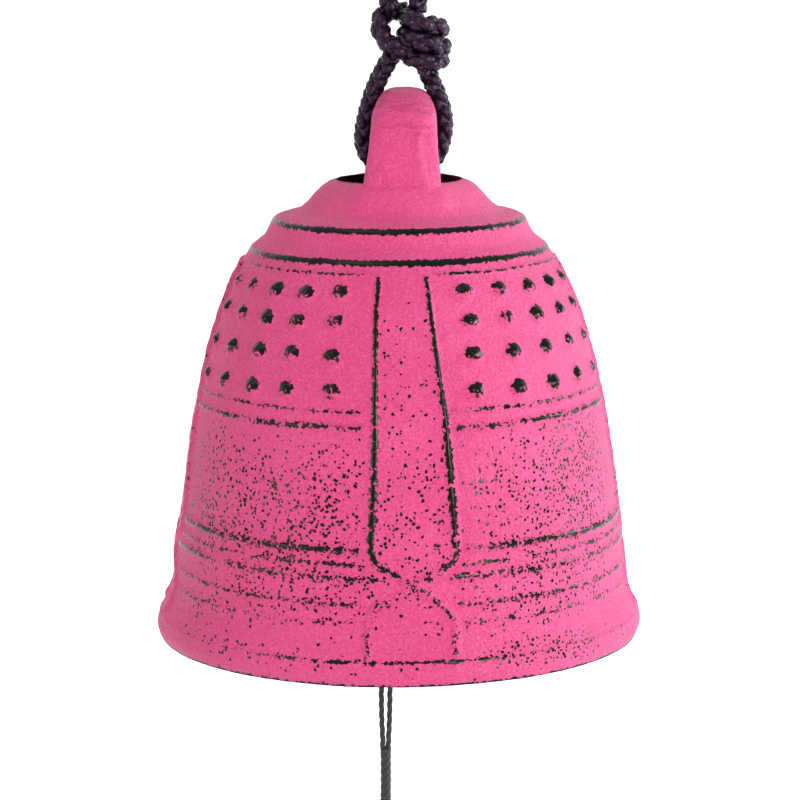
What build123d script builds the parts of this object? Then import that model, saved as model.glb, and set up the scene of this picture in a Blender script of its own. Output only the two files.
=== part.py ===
"""Cast-iron wind bell: the bell, its braided hanging cord, the clapper on its thread and the paper strip."""
import math
import os

from build123d import *

os.makedirs("parts", exist_ok=True)

# Sizes in millimetres. The origin is where the hanging loop sits on its hook, +Z is up and -Y is the front.
# Heights are measured from the plane of the bell's rim.
MOUTH_RADIUS = 34.0
BODY_HEIGHT = 63.4
HOLE_RADIUS = 8.6
LIP_UNDERCUT = 0.8
LIP_BEAD = 0.42
CROWN_BEAD = 0.48

# Outer wall from the lip to the shoulder: shares of the mouth's radius and of the body's height
WALL_SHARES = (
    (0.971, 0.069),
    (0.944, 0.104),
    (0.926, 0.158),
    (0.902, 0.266),
    (0.856, 0.445),
    (0.788, 0.621),
    (0.700, 0.762),
    (0.624, 0.839),
)
# Crown: each step is a short slope and a hollow curve
STEP_LOW_SHARES = (0.610, 0.856)
HOLLOW_LOW_SHARES = (0.555, 0.878)
STEP_HIGH_FOOT_SHARES = (0.527, 0.907)
STEP_HIGH_SHARES = (0.518, 0.916)
# Rounded collar round the hole: its wall beyond the hole, and its heights as shares of the body's height
COLLAR_WALL = 3.37
COLLAR_SHOULDER_WALL = 2.45
COLLAR_TOP_WALL = 0.72
COLLAR_FOOT_SHARE = 0.959
COLLAR_SHOULDER_SHARE = 0.984
HOLLOW_HIGH_SHARES = (0.319, 0.936)
# Inner wall from the hole down to the mouth
INNER_TOP_SHARE = 0.903
INNER_SHARES = (
    (0.430, 0.868),
    (0.556, 0.804),
    (0.635, 0.726),
    (0.715, 0.600),
    (0.774, 0.442),
    (0.818, 0.268),
    (0.853, 0.126),
    (0.890, 0.000),
)
LIP_WIDEST_SHARES = (1.000, 0.028)
LIP_EDGE_SHARES = (0.985, 0.051)

# Raised lines and bands: how far they stand out, and how deep they root in the wall
RELIEF = 0.5
RELIEF_ROOT = 1.0
BOLD_LINE = 0.95
FINE_LINE = 0.6
BOLD_LINE_SHARES = (0.525, 0.2765, 0.219)
FINE_LINE_SHARES = (0.830, 0.557, 0.246, 0.164, 0.125)
BAND_LINE = 0.85
BAND_QUARTERS = 4
# Edge lines of a band, across it and up: they cross near the foot and spread to a pointed field
BAND_LEFT_SHARES = (
    (-0.093, 0.838),
    (-0.106, 0.520),
    (-0.104, 0.275),
    (-0.085, 0.247),
    (0.050, 0.194),
    (0.195, 0.148),
    (0.220, 0.118),
    (0.221, 0.066),
)
BAND_RIGHT_SHARES = (
    (0.100, 0.838),
    (0.180, 0.520),
    (0.221, 0.275),
    (0.202, 0.247),
    (0.050, 0.194),
    (-0.098, 0.156),
    (-0.120, 0.126),
    (-0.121, 0.066),
)

# Studs: rows by height, columns by angle round each of the four panels
STUD_RADIUS = 1.25
STUD_SINK = 0.55
STUD_ROW_SHARES = (0.798, 0.741, 0.673, 0.604)
PANEL_ANGLES = (49.0, 135.0, 225.0, 314.0)
STUD_STEP_ANGLE = 13.1
STUD_COLUMNS = 5

# Arch over the hole in the crown: it stands a little to one side, as cast, and is rooted in the crown
ARCH_SHIFT = 0.55
ARCH_RISE = 12.5
ARCH_ROOT = 3.9
ARCH_BAR = 7.9
ARCH_WIDTH = 11.2
ARCH_DEPTH = 21.8
ARCH_TOP_ROUND = 3.2
# Its front and side outlines: shares of its width or depth, and of its height from the root to the top
ARCH_FRONT_SHARES = ((0.500, 0.0), (0.469, 0.305), (0.415, 0.640), (0.384, 1.0))
ARCH_SIDE_SHARES = ((0.500, 0.0), (0.436, 0.305), (0.399, 0.579))
# The hole across it: shares of the depth, and of the height from the root to the bar
ARCH_HOLE_SHARES = ((0.243, 0.0), (0.211, 0.447))
GROOVE_DEPTH = 1.625
GROOVE_PLAY = 0.3
GROOVE_SPREAD = 4.2

# Braided cord: through the arch, up both sides to the knot, and on to the hanging loop
CORD = 3.0
CORD_SEAT = 0.8
SLING_TURN = 3.0
SLING_LEAN_RUN = 1.9
SLING_LEAN_TURN = 9.0
SLING_LEFT_END = (-3.35, -4.5)
SLING_RIGHT_END = (3.4, -4.8)
KNOT_SHIFT = 0.6
KNOT_RISE = 6.5
KNOT_CORE = 4.3
KNOT_WRAP = 3.6
KNOT_WRAP_ANGLE = 42.0
LOOP_DROP = 41.6
LOOP_FOOT_RISE = 4.9
LOOP_FOOT_SIDE = 1.9
LOOP_SIDE = 4.5
LOOP_SHOULDER_DROP = 8.0
LOOP_FLAT = 0.1
LOOP_LEAN_TURN = 40.0

# Thread: doubled, a little left of the bell's axis
THREAD = 0.64
THREAD_SHIFT = -1.9
STRAND_SIDE = 0.6
HITCH_PLAY = 0.1
HITCH_SIDE = 0.3
HITCH_KNOT = 1.0
THREAD_GAP = 0.25
SEAT_GAP = 0.1
TWIST_TOP = -17.0
TWIST_LENGTH = 7.75
TWIST = 1.3
STRIP_KNOT = 1.0

# Clapper: a round plate that the thread goes through, held up by the stop knot
CLAPPER_RADIUS = 13.0
CLAPPER_THICK = 2.4
CLAPPER_TOP = 18.2
CLAPPER_HOLE = 1.25
CLAPPER_ROUND = 0.7
STOP_KNOT = 1.6
STOP_KNOT_DROP = 1.15

# Paper strip and the loop of thread through its hole
STRIP_WIDTH = 32.0
STRIP_LENGTH = 105.0
STRIP_THICK = 0.5
STRIP_HOLE = 1.7
STRIP_HOLE_DROP = 4.3
STRIP_LOOP_SIDE = 0.9
STRIP_LOOP_LENGTH = 5.73

# Heights above the rim that follow from these sizes
arch_root = BODY_HEIGHT - ARCH_ROOT
arch_top = BODY_HEIGHT + ARCH_RISE
arch_under = arch_top - ARCH_BAR
cord_under = arch_under - CORD_SEAT - CORD / 2
cord_lean = cord_under + SLING_TURN + SLING_LEAN_RUN
knot_height = arch_top + KNOT_RISE
hang_height = knot_height + LOOP_DROP


def up(height):
    """Z of a height above the rim."""
    return height - hang_height


def on_body(shares):
    """Radius and Z of a point given in shares of the body."""
    return (MOUTH_RADIUS * shares[0], up(BODY_HEIGHT * shares[1]))


def shifted(points, amount):
    """The same points moved outward from the axis."""
    return [(radius + amount, z) for radius, z in points]


wall_points = [on_body(shares) for shares in WALL_SHARES]
with BuildLine() as wall_line:
    Spline(wall_points)
wall_edge = wall_line.edges()[0]


def wall_radius(z):
    """Radius of the outer wall at a given Z, by halving along its curve."""
    low, high = 0.0, 1.0
    for _ in range(40):
        middle = (low + high) / 2
        if wall_edge.position_at(middle).Y < z:
            low = middle
        else:
            high = middle
    return wall_edge.position_at(low).X


def band_plane(quarter):
    """Upright plane through the axis that faces out through a band."""
    angle = math.radians(quarter * 360 / BAND_QUARTERS)
    return Plane(
        origin=(0, 0, up(0)),
        x_dir=(math.cos(angle), math.sin(angle), 0),
        z_dir=(math.sin(angle), -math.cos(angle), 0),
    )


def across_band(shares):
    """Point of a band's outline on its plane."""
    return (MOUTH_RADIUS * shares[0], BODY_HEIGHT * shares[1])


# Thin layer along the wall in which the raised lines lie
with BuildPart() as skin:
    with BuildSketch(Plane.XZ):
        with BuildLine():
            outside = Spline(shifted(wall_points, RELIEF))
            inside = Spline(shifted(wall_points, -RELIEF_ROOT))
            Line(outside @ 0, inside @ 0)
            Line(outside @ 1, inside @ 1)
        make_face()
    revolve(axis=Axis.Z)

# Raised lines round the bell, left out inside the bands, and the bands' edge lines
with BuildPart() as relief:
    for line_shares, width in ((BOLD_LINE_SHARES, BOLD_LINE), (FINE_LINE_SHARES, FINE_LINE)):
        for share in line_shares:
            with BuildSketch(Plane.XY.offset(up(BODY_HEIGHT * share))):
                Circle(MOUTH_RADIUS)
            extrude(amount=width / 2, both=True)
    for quarter in range(BAND_QUARTERS):
        with BuildSketch(band_plane(quarter)):
            for first, last in ((0, 5), (4, 8)):
                left = [across_band(shares) for shares in BAND_LEFT_SHARES[first:last]]
                right = [across_band(shares) for shares in BAND_RIGHT_SHARES[first:last]]
                outline = left + right[::-1]
                with BuildLine():
                    Polyline(*[p for i, p in enumerate(outline) if p != outline[i - 1]], close=True)
                make_face()
        extrude(amount=MOUTH_RADIUS, mode=Mode.SUBTRACT)
    for quarter in range(BAND_QUARTERS):
        for edge_shares in (BAND_LEFT_SHARES, BAND_RIGHT_SHARES):
            with BuildSketch(band_plane(quarter)):
                with BuildLine():
                    Polyline(*[across_band(shares) for shares in edge_shares])
                trace(line_width=BAND_LINE)
            extrude(amount=MOUTH_RADIUS)
    add(skin.part, mode=Mode.INTERSECT)

# Route of the cord round the arch: down one side, through the hole and up the other side
cord_side = ARCH_WIDTH / 2 - GROOVE_DEPTH + CORD / 2
sling_left = ARCH_SHIFT - cord_side
sling_right = ARCH_SHIFT + cord_side
with BuildLine() as sling_route:
    FilletPolyline(
        (KNOT_SHIFT + SLING_LEFT_END[0], 0, up(knot_height + SLING_LEFT_END[1])),
        (sling_left, 0, up(cord_lean)),
        (sling_left, 0, up(cord_under)),
        (sling_right, 0, up(cord_under)),
        (sling_right, 0, up(cord_lean)),
        (KNOT_SHIFT + SLING_RIGHT_END[0], 0, up(knot_height + SLING_RIGHT_END[1])),
        radius=[SLING_LEAN_TURN, SLING_TURN, SLING_TURN, SLING_LEAN_TURN],
    )


def arch_outline(shares, width, height):
    """Right and left points of an outline of the arch, from its root upward."""
    right = [(width * across, arch_root + height * rise) for across, rise in shares]
    return right, [(-across, rise) for across, rise in right]


# Arch: its front and side outlines, the hole across it, and the groove in which the cord lies
arch_front = Plane(origin=(ARCH_SHIFT, 0, up(0)), x_dir=(1, 0, 0), z_dir=(0, -1, 0))
arch_side = Plane(origin=(ARCH_SHIFT, 0, up(0)), x_dir=(0, 1, 0), z_dir=(1, 0, 0))
with BuildPart() as arch:
    with BuildSketch(arch_front) as front_outline:
        front_right, front_left = arch_outline(ARCH_FRONT_SHARES, ARCH_WIDTH, arch_top - arch_root)
        with BuildLine():
            Polyline(*front_right, *front_left[::-1], close=True)
        make_face()
        fillet(front_outline.vertices().group_by(Axis.Y)[-1], ARCH_TOP_ROUND)
    extrude(amount=MOUTH_RADIUS, both=True)
    for shares, height, top, mode in (
        (ARCH_SIDE_SHARES, arch_top - arch_root, arch_top, Mode.INTERSECT),
        (ARCH_HOLE_SHARES, arch_under - arch_root, arch_under, Mode.SUBTRACT),
    ):
        side_right, side_left = arch_outline(shares, ARCH_DEPTH, height)
        with BuildSketch(arch_side):
            with BuildLine():
                right = Polyline(*side_right)
                left = Polyline(*side_left)
                ThreePointArc(right @ 1, (0, top), left @ 1)
                Line(left @ 0, right @ 0)
            make_face()
        extrude(amount=MOUTH_RADIUS, both=True, mode=mode)
    with BuildSketch(Plane(origin=sling_route.wire() @ 0, x_dir=(0, 1, 0), z_dir=sling_route.wire() % 0)):
        SlotOverall(CORD + GROOVE_PLAY * 2 + GROOVE_SPREAD, CORD + GROOVE_PLAY * 2)
    sweep(path=sling_route.wire(), mode=Mode.SUBTRACT)

# Places of the studs, sunk a little into the wall and facing out
stud_places = []
for panel_angle in PANEL_ANGLES:
    for column in range(STUD_COLUMNS):
        angle = math.radians(panel_angle + (column - (STUD_COLUMNS - 1) / 2) * STUD_STEP_ANGLE)
        for share in STUD_ROW_SHARES:
            z = up(BODY_HEIGHT * share)
            radius = wall_radius(z) - STUD_SINK
            outward = Vector(math.sin(angle), -math.cos(angle), 0)
            stud_places.append(Plane(origin=outward * radius + Vector(0, 0, z), z_dir=outward).location)

# Collar round the hole, and the hollow between it and the upper step
collar_foot = (HOLE_RADIUS + COLLAR_WALL, up(BODY_HEIGHT * COLLAR_FOOT_SHARE))
collar_shoulder = (HOLE_RADIUS + COLLAR_SHOULDER_WALL, up(BODY_HEIGHT * COLLAR_SHOULDER_SHARE))
collar_top = (HOLE_RADIUS + COLLAR_TOP_WALL, up(BODY_HEIGHT))
step_high = on_body(STEP_HIGH_SHARES)
hollow_high = (
    collar_foot[0] + (step_high[0] - collar_foot[0]) * HOLLOW_HIGH_SHARES[0],
    up(BODY_HEIGHT * HOLLOW_HIGH_SHARES[1]),
)
inner_points = [(HOLE_RADIUS, up(BODY_HEIGHT * INNER_TOP_SHARE))]
inner_points += [on_body(shares) for shares in INNER_SHARES]

# Bell casting: the turned shell with its crown, then the arch, the raised lines and the studs
with BuildPart() as bell:
    with BuildSketch(Plane.XZ):
        with BuildLine():
            wall = Spline(wall_points)
            low_step = Line(wall @ 1, on_body(STEP_LOW_SHARES))
            low_hollow = ThreePointArc(
                low_step @ 1, on_body(HOLLOW_LOW_SHARES), on_body(STEP_HIGH_FOOT_SHARES)
            )
            high_step = Line(low_hollow @ 1, step_high)
            high_hollow = ThreePointArc(high_step @ 1, hollow_high, collar_foot)
            collar = ThreePointArc(high_hollow @ 1, collar_shoulder, collar_top)
            inner = Spline(inner_points)
            Polyline(collar @ 1, (HOLE_RADIUS, up(BODY_HEIGHT)), inner @ 0)
            rim = Line(inner @ 1, (MOUTH_RADIUS - LIP_UNDERCUT, up(0)))
            lip = ThreePointArc(rim @ 1, on_body(LIP_WIDEST_SHARES), on_body(LIP_EDGE_SHARES))
            Line(lip @ 1, wall @ 0)
        make_face()
        with Locations(on_body(STEP_LOW_SHARES), on_body(STEP_HIGH_SHARES)):
            Circle(CROWN_BEAD)
        with Locations(on_body(LIP_EDGE_SHARES)):
            Circle(LIP_BEAD)
    revolve(axis=Axis.Z)
    add(arch.part)
    add(relief.part)
    with Locations(*stud_places):
        Sphere(STUD_RADIUS)
bell.part.label = "bell"
export_step(bell.part, "parts/bell.step")


def tell_cord(name, wire, part, width):
    """Print a cord's length, its tightest turn, and its volume against section times length."""
    radii = [edge.radius for edge in wire.edges() if edge.geom_type == GeomType.CIRCLE]
    tightest = min(radii) if radii else 0
    share = part.volume / (wire.length * math.pi * (width / 2) ** 2)
    print(f"{name}: length {wire.length:.1f} mm, tightest turn {tightest:.2f} mm, volume share {share:.4f}")


# Cord under the arch
with BuildPart() as cord_sling:
    with BuildSketch(Plane(origin=sling_route.wire() @ 0, z_dir=sling_route.wire() % 0)):
        Circle(CORD / 2)
    sweep(path=sling_route.wire())
cord_sling.part.label = "cord_sling"
export_step(cord_sling.part, "parts/cord_sling.step")
tell_cord("cord_sling", sling_route.wire(), cord_sling.part, CORD)

# Knot above the arch: two crossed wraps of the cord round its core
with BuildPart() as hanging_knot:
    with Locations((KNOT_SHIFT, 0, up(knot_height))):
        Sphere(KNOT_CORE)
        for side in (-1, 1):
            Torus(KNOT_WRAP, CORD / 2, rotation=(0, side * KNOT_WRAP_ANGLE, 0))
hanging_knot.part.label = "hanging_knot"
export_step(hanging_knot.part, "parts/hanging_knot.step")

# Hanging loop: two strands from the knot to the bend that sits on the hook
loop_foot_z = up(knot_height + LOOP_FOOT_RISE)
loop_turn = LOOP_SIDE - LOOP_FLAT / 2
with BuildLine() as loop_route:
    FilletPolyline(
        (KNOT_SHIFT - LOOP_FOOT_SIDE, 0, loop_foot_z),
        (-LOOP_SIDE, 0, -LOOP_SHOULDER_DROP),
        (-LOOP_SIDE, 0, CORD / 2),
        (LOOP_SIDE, 0, CORD / 2),
        (LOOP_SIDE, 0, -LOOP_SHOULDER_DROP),
        (KNOT_SHIFT + LOOP_FOOT_SIDE, 0, loop_foot_z),
        radius=[LOOP_LEAN_TURN, loop_turn, loop_turn, LOOP_LEAN_TURN],
    )
with BuildPart() as hanging_loop:
    with BuildSketch(Plane(origin=loop_route.wire() @ 0, z_dir=loop_route.wire() % 0)):
        Circle(CORD / 2)
    sweep(path=loop_route.wire())
hanging_loop.part.label = "hanging_loop"
export_step(hanging_loop.part, "parts/hanging_loop.step")
tell_cord("hanging_loop", loop_route.wire(), hanging_loop.part, CORD)

# Thread hitch: two turns of the thread round the cord under the arch
hitch_ring = CORD / 2 + HITCH_PLAY + THREAD / 2
with BuildPart() as thread_hitch:
    for side in (-1, 1):
        with Locations((THREAD_SHIFT + side * HITCH_SIDE, 0, up(cord_under))):
            Torus(hitch_ring, THREAD / 2, rotation=(0, 90, 0))
thread_hitch.part.label = "thread_hitch"
export_step(thread_hitch.part, "parts/thread_hitch.step")

hitch_knot_z = up(cord_under) - hitch_ring - THREAD / 2 - SEAT_GAP - HITCH_KNOT
with BuildPart() as hitch_knot:
    with Locations((THREAD_SHIFT, 0, hitch_knot_z)):
        Sphere(HITCH_KNOT)
hitch_knot.part.label = "hitch_knot"
export_step(hitch_knot.part, "parts/hitch_knot.step")

# Clapper plate and the stop knot that it rests on
with BuildPart() as clapper:
    with BuildSketch(Plane.XY.offset(up(CLAPPER_TOP))):
        with Locations((THREAD_SHIFT, 0)):
            Circle(CLAPPER_RADIUS)
            Circle(CLAPPER_HOLE, mode=Mode.SUBTRACT)
    extrude(amount=-CLAPPER_THICK)
    fillet(clapper.edges().filter_by(GeomType.CIRCLE).sort_by(SortBy.RADIUS)[-2:], CLAPPER_ROUND)
clapper.part.label = "clapper"
export_step(clapper.part, "parts/clapper.step")

stop_knot_z = up(CLAPPER_TOP - CLAPPER_THICK - STOP_KNOT_DROP)
with BuildPart() as stop_knot:
    with Locations((THREAD_SHIFT, 0, stop_knot_z)):
        Sphere(STOP_KNOT)
stop_knot.part.label = "stop_knot"
export_step(stop_knot.part, "parts/stop_knot.step")

# Thread strands: from the hitch knot to the stop knot, and from there to where they twist together
clapper_strand_top = hitch_knot_z - HITCH_KNOT - THREAD_GAP
clapper_strand_foot = stop_knot_z + STOP_KNOT + SEAT_GAP
sail_strand_top = stop_knot_z - STOP_KNOT - THREAD_GAP
sail_strand_foot = up(TWIST_TOP) + SEAT_GAP
for stretch, top, foot in (
    ("clapper_thread", clapper_strand_top, clapper_strand_foot),
    ("sail_thread", sail_strand_top, sail_strand_foot),
):
    for hand, side in (("left", -1), ("right", 1)):
        with BuildPart() as strand:
            with BuildSketch(Plane.XY.offset(foot)):
                with Locations((THREAD_SHIFT + side * STRAND_SIDE, 0)):
                    Circle(THREAD / 2)
            extrude(amount=top - foot)
        strand.part.label = f"{stretch}_{hand}"
        export_step(strand.part, f"parts/{stretch}_{hand}.step")

# Both strands twisted together, down to the knot above the strip
twist_foot = up(TWIST_TOP) - TWIST_LENGTH
strip_knot_z = twist_foot - THREAD_GAP - STRIP_KNOT
with BuildPart() as twisted_thread:
    with BuildSketch(Plane.XY.offset(twist_foot)):
        with Locations((THREAD_SHIFT, 0)):
            Circle(TWIST / 2)
    extrude(amount=TWIST_LENGTH)
twisted_thread.part.label = "twisted_thread"
export_step(twisted_thread.part, "parts/twisted_thread.step")

with BuildPart() as strip_knot:
    with Locations((THREAD_SHIFT, 0, strip_knot_z)):
        Sphere(STRIP_KNOT)
strip_knot.part.label = "strip_knot"
export_step(strip_knot.part, "parts/strip_knot.step")

# Loop of thread through the strip's hole
loop_top = strip_knot_z - STRIP_KNOT - THREAD_GAP - THREAD / 2
loop_foot = loop_top - STRIP_LOOP_LENGTH
run_top = loop_top - STRIP_LOOP_SIDE
run_foot = loop_foot + STRIP_LOOP_SIDE
strip_side = Plane(origin=(THREAD_SHIFT, 0, 0), x_dir=(0, 1, 0), z_dir=(1, 0, 0))
with BuildLine(strip_side) as strip_loop_route:
    front_run = Line((-STRIP_LOOP_SIDE, run_foot), (-STRIP_LOOP_SIDE, run_top))
    back_run = Line((STRIP_LOOP_SIDE, run_top), (STRIP_LOOP_SIDE, run_foot))
    ThreePointArc(front_run @ 1, (0, loop_top), back_run @ 0)
    ThreePointArc(back_run @ 1, (0, loop_foot), front_run @ 0)
with BuildPart() as strip_loop:
    with BuildSketch(Plane.XY.offset(run_foot)):
        with Locations((THREAD_SHIFT, -STRIP_LOOP_SIDE)):
            Circle(THREAD / 2)
    sweep(path=strip_loop_route.wire())
strip_loop.part.label = "strip_loop"
export_step(strip_loop.part, "parts/strip_loop.step")
tell_cord("strip_loop", strip_loop_route.wire(), strip_loop.part, THREAD)

# Paper strip
with BuildPart() as paper_strip:
    with BuildSketch(Plane.XZ):
        with Locations((THREAD_SHIFT, loop_foot + STRIP_HOLE_DROP - STRIP_LENGTH / 2)):
            Rectangle(STRIP_WIDTH, STRIP_LENGTH)
        with Locations((THREAD_SHIFT, loop_foot + THREAD / 2 + SEAT_GAP - STRIP_HOLE)):
            Circle(STRIP_HOLE, mode=Mode.SUBTRACT)
    extrude(amount=STRIP_THICK / 2, both=True)
paper_strip.part.label = "paper_strip"
export_step(paper_strip.part, "parts/paper_strip.step")
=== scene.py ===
"""Looks of a cast-iron wind bell: painted casting, braided cord, twisted thread, clapper and paper strip."""
import math

import bpy
import numpy as np
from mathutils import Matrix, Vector, noise


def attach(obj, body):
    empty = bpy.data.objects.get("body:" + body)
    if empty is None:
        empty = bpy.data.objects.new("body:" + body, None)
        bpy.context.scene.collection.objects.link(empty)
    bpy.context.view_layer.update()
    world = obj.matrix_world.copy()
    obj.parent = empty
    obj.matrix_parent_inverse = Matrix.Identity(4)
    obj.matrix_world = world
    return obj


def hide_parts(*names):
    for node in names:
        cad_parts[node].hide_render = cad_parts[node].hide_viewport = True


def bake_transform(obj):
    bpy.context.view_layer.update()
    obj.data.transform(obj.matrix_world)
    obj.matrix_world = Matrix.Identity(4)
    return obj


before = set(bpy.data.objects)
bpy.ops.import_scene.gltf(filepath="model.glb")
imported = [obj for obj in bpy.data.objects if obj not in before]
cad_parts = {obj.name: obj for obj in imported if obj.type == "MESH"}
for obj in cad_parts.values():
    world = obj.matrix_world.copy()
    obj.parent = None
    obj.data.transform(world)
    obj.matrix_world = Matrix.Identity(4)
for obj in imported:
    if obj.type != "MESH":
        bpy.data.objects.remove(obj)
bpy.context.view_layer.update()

# Sizes in millimetres; heights are measured from the plane of the bell's rim, as in the part's source
MM = 0.001
HANG_HEIGHT = 124.0
MOUTH_RADIUS = 34.0
BODY_HEIGHT = 63.4
HOLE_RADIUS = 8.6


def at(x, y, height):
    """Point in metres from sizes in millimetres and a height above the rim."""
    return Vector((x, y, height - HANG_HEIGHT)) * MM


# Camera of the photograph: a long lens a little above the bell
VIEW_DISTANCE = 430.0
VIEW_HEIGHT = 32.35
VIEW_SHIFT = 0.14
VIEW_ELEVATION = math.radians(9.592)
LENS = 138.8
SENSOR = 36.0

camera_data = bpy.data.cameras.new("camera")
camera_data.lens = LENS
camera_data.sensor_width = SENSOR
camera_data.sensor_fit = "HORIZONTAL"
camera_data.clip_start = 10 * MM
camera = bpy.data.objects.new("camera", camera_data)
camera.location = at(
    VIEW_SHIFT,
    -VIEW_DISTANCE * math.cos(VIEW_ELEVATION),
    VIEW_HEIGHT + VIEW_DISTANCE * math.sin(VIEW_ELEVATION),
)
camera.rotation_euler = (math.pi / 2 - VIEW_ELEVATION, 0, 0)
bpy.context.collection.objects.link(camera)
bpy.context.scene.camera = camera
bpy.context.scene.view_settings.view_transform = "Standard"


# Node materials

class Nodes:
    """Short way to add linked nodes to a new material."""

    def __init__(self, name):
        self.material = bpy.data.materials.new(name)
        self.material.use_nodes = True
        self.tree = self.material.node_tree
        self.shader = self.tree.nodes["Principled BSDF"]

    def add(self, kind, settings=None, **inputs):
        """New node; an input is a value or the socket that feeds it, named by its label or number."""
        node = self.tree.nodes.new("ShaderNode" + kind)
        for key, value in (settings or {}).items():
            setattr(node, key, value)
        for key, value in inputs.items():
            self.feed(node, key, value)
        return node

    def feed(self, node, key, value):
        """Set an input, or link it where the value is a socket."""
        slot = node.inputs[int(key[1:])] if key[1:].isdigit() else node.inputs[key.replace("_", " ")]
        if isinstance(value, bpy.types.NodeSocket):
            self.tree.links.new(value, slot)
        else:
            slot.default_value = value

    def set(self, **inputs):
        """Set or link inputs of the surface shader."""
        for key, value in inputs.items():
            self.feed(self.shader, key, value)

    def place(self):
        """Object coordinates in metres."""
        return self.add("TexCoord").outputs["Object"]

    def noise(self, vector, scale, detail=2.0, roughness=0.5):
        """Noise from 0 to 1."""
        node = self.add("TexNoise", Vector=vector, Scale=scale, Detail=detail, Roughness=roughness)
        return node.outputs["Fac"]

    def attribute(self, name, output="Fac"):
        """Values stored on the mesh."""
        return self.add("Attribute", {"attribute_name": name}).outputs[output]

    def math(self, operation, first, second=0.0, third=0.0):
        """Sum, product or other operation on two or three values."""
        return self.add("Math", {"operation": operation}, i0=first, i1=second, i2=third).outputs[0]

    def ramp(self, value, low, high, from_value=0.0, to_value=1.0):
        """Smooth step between two levels."""
        node = self.add(
            "MapRange",
            {"interpolation_type": "SMOOTHSTEP"},
            Value=value, From_Min=low, From_Max=high, To_Min=from_value, To_Max=to_value,
        )
        return node.outputs["Result"]

    def mix(self, share, first, second):
        """Blend of two colours."""
        node = self.add("Mix", {"data_type": "RGBA"}, i0=share, i6=first, i7=second)
        return node.outputs[2]

    def bump(self, height, strength, depth):
        """Shading normal from a height; depth is in millimetres."""
        node = self.add("Bump", Height=height, Strength=strength, Distance=depth * MM)
        return node.outputs["Normal"]


def casting_material():
    """Matte pink paint with cast grain, rubbed through to dark iron on raised lines and high grains; painted
    shade along the arch's creases, darker paint in its filed scratches, and a painted highlight of paler pink
    on the grain's high points.
    """
    nodes = Nodes("painted_casting")
    place = nodes.place()
    ragged = nodes.noise(place, 1900.0, 3.0, 0.6)
    grain = nodes.noise(place, 2900.0, 3.0, 0.65)
    patches = nodes.noise(place, 90.0, 3.0, 0.5)
    ridge = nodes.attribute("ridge")
    raggedness = nodes.math("MULTIPLY_ADD", ridge, -1.3, 2.8)
    tear = nodes.math("MULTIPLY", nodes.math("SUBTRACT", ragged, 0.5), raggedness)
    line_wear = nodes.ramp(nodes.math("ADD", ridge, tear), 0.50, 0.56)
    line_wear = nodes.math("MULTIPLY", line_wear, nodes.ramp(ridge, 0.05, 0.15))

    # Specks: small bent cells, of which the stored share is rubbed through in the middle
    bend = nodes.add("TexNoise", Vector=place, Scale=1700.0, Detail=2.0).outputs["Color"]
    bent = nodes.add("VectorMath", {"operation": "MULTIPLY_ADD"}, i0=bend, i1=(0.0006,) * 3, i2=place)
    cells = nodes.add("TexVoronoi", Vector=bent.outputs[0], Scale=1850.0)
    chance = nodes.add("SeparateColor", Color=cells.outputs["Color"])
    chosen = nodes.math("LESS_THAN", chance.outputs[0], nodes.attribute("rough"))
    reach = nodes.math("MULTIPLY_ADD", chance.outputs[1], 0.20, cells.outputs["Distance"])
    sideways = nodes.add("SeparateXYZ", Vector=place).outputs["X"]
    reach = nodes.math("ADD", reach, nodes.ramp(sideways, -0.005, 0.022, -0.03, 0.02))
    speck_wear = nodes.math("MULTIPLY", chosen, nodes.ramp(reach, 0.44, 0.50, 1.0, 0.0))
    wear = nodes.math("MAXIMUM", line_wear, speck_wear)

    paint = nodes.mix(nodes.ramp(patches, 0.3, 0.7), (0.75, 0.046, 0.208, 1), (0.81, 0.063, 0.244, 1))
    # Painted highlight: the paint turns paler pink on the grain's high points, in place of small glints; it
    # is also darker on the grain's low points
    paint = nodes.mix(nodes.ramp(grain, 0.30, 0.55, 0.50, 0.0), paint, (0.58, 0.020, 0.125, 1))
    paint = nodes.mix(nodes.ramp(grain, 0.48, 0.70, 0.0, 0.6), paint, (0.86, 0.130, 0.330, 1))
    iron = nodes.mix(grain, (0.006, 0.006, 0.005, 1), (0.020, 0.022, 0.018, 1))
    across = nodes.add("Mapping", Vector=place, Scale=(0.22, 1.0, 1.0)).outputs["Vector"]
    scratch = nodes.ramp(nodes.noise(across, 1300.0, 2.0, 0.6), 0.40, 0.52, 1.0, 0.0)
    marks = nodes.math("MULTIPLY", scratch, nodes.attribute("filed"))
    # Painted shade: the paint is darkened along the arch's creases, and darker in the filed scratches
    painted_shade_and_scratches = nodes.math("MAXIMUM", nodes.math("MULTIPLY", marks, 0.5), nodes.attribute("crease"))
    paint = nodes.mix(painted_shade_and_scratches, paint, (0.50, 0.012, 0.090, 1))
    skin = nodes.math("MULTIPLY", grain, nodes.ramp(wear, 0.0, 1.0, 1.0, 0.08))
    relief = nodes.math("MULTIPLY_ADD", wear, 0.3, nodes.math("MULTIPLY_ADD", marks, -0.6, skin))
    nodes.set(
        Base_Color=nodes.mix(wear, paint, iron),
        Metallic=wear,
        Roughness=nodes.ramp(wear, 0.0, 1.0, 0.56, 0.20),
        Specular_IOR_Level=0.5,
        Sheen_Weight=0.10,
        Sheen_Roughness=0.45,
        Sheen_Tint=(1.0, 0.92, 0.94, 1),
        Normal=nodes.bump(relief, 1.0, 0.30),
    )
    return nodes.material


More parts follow.
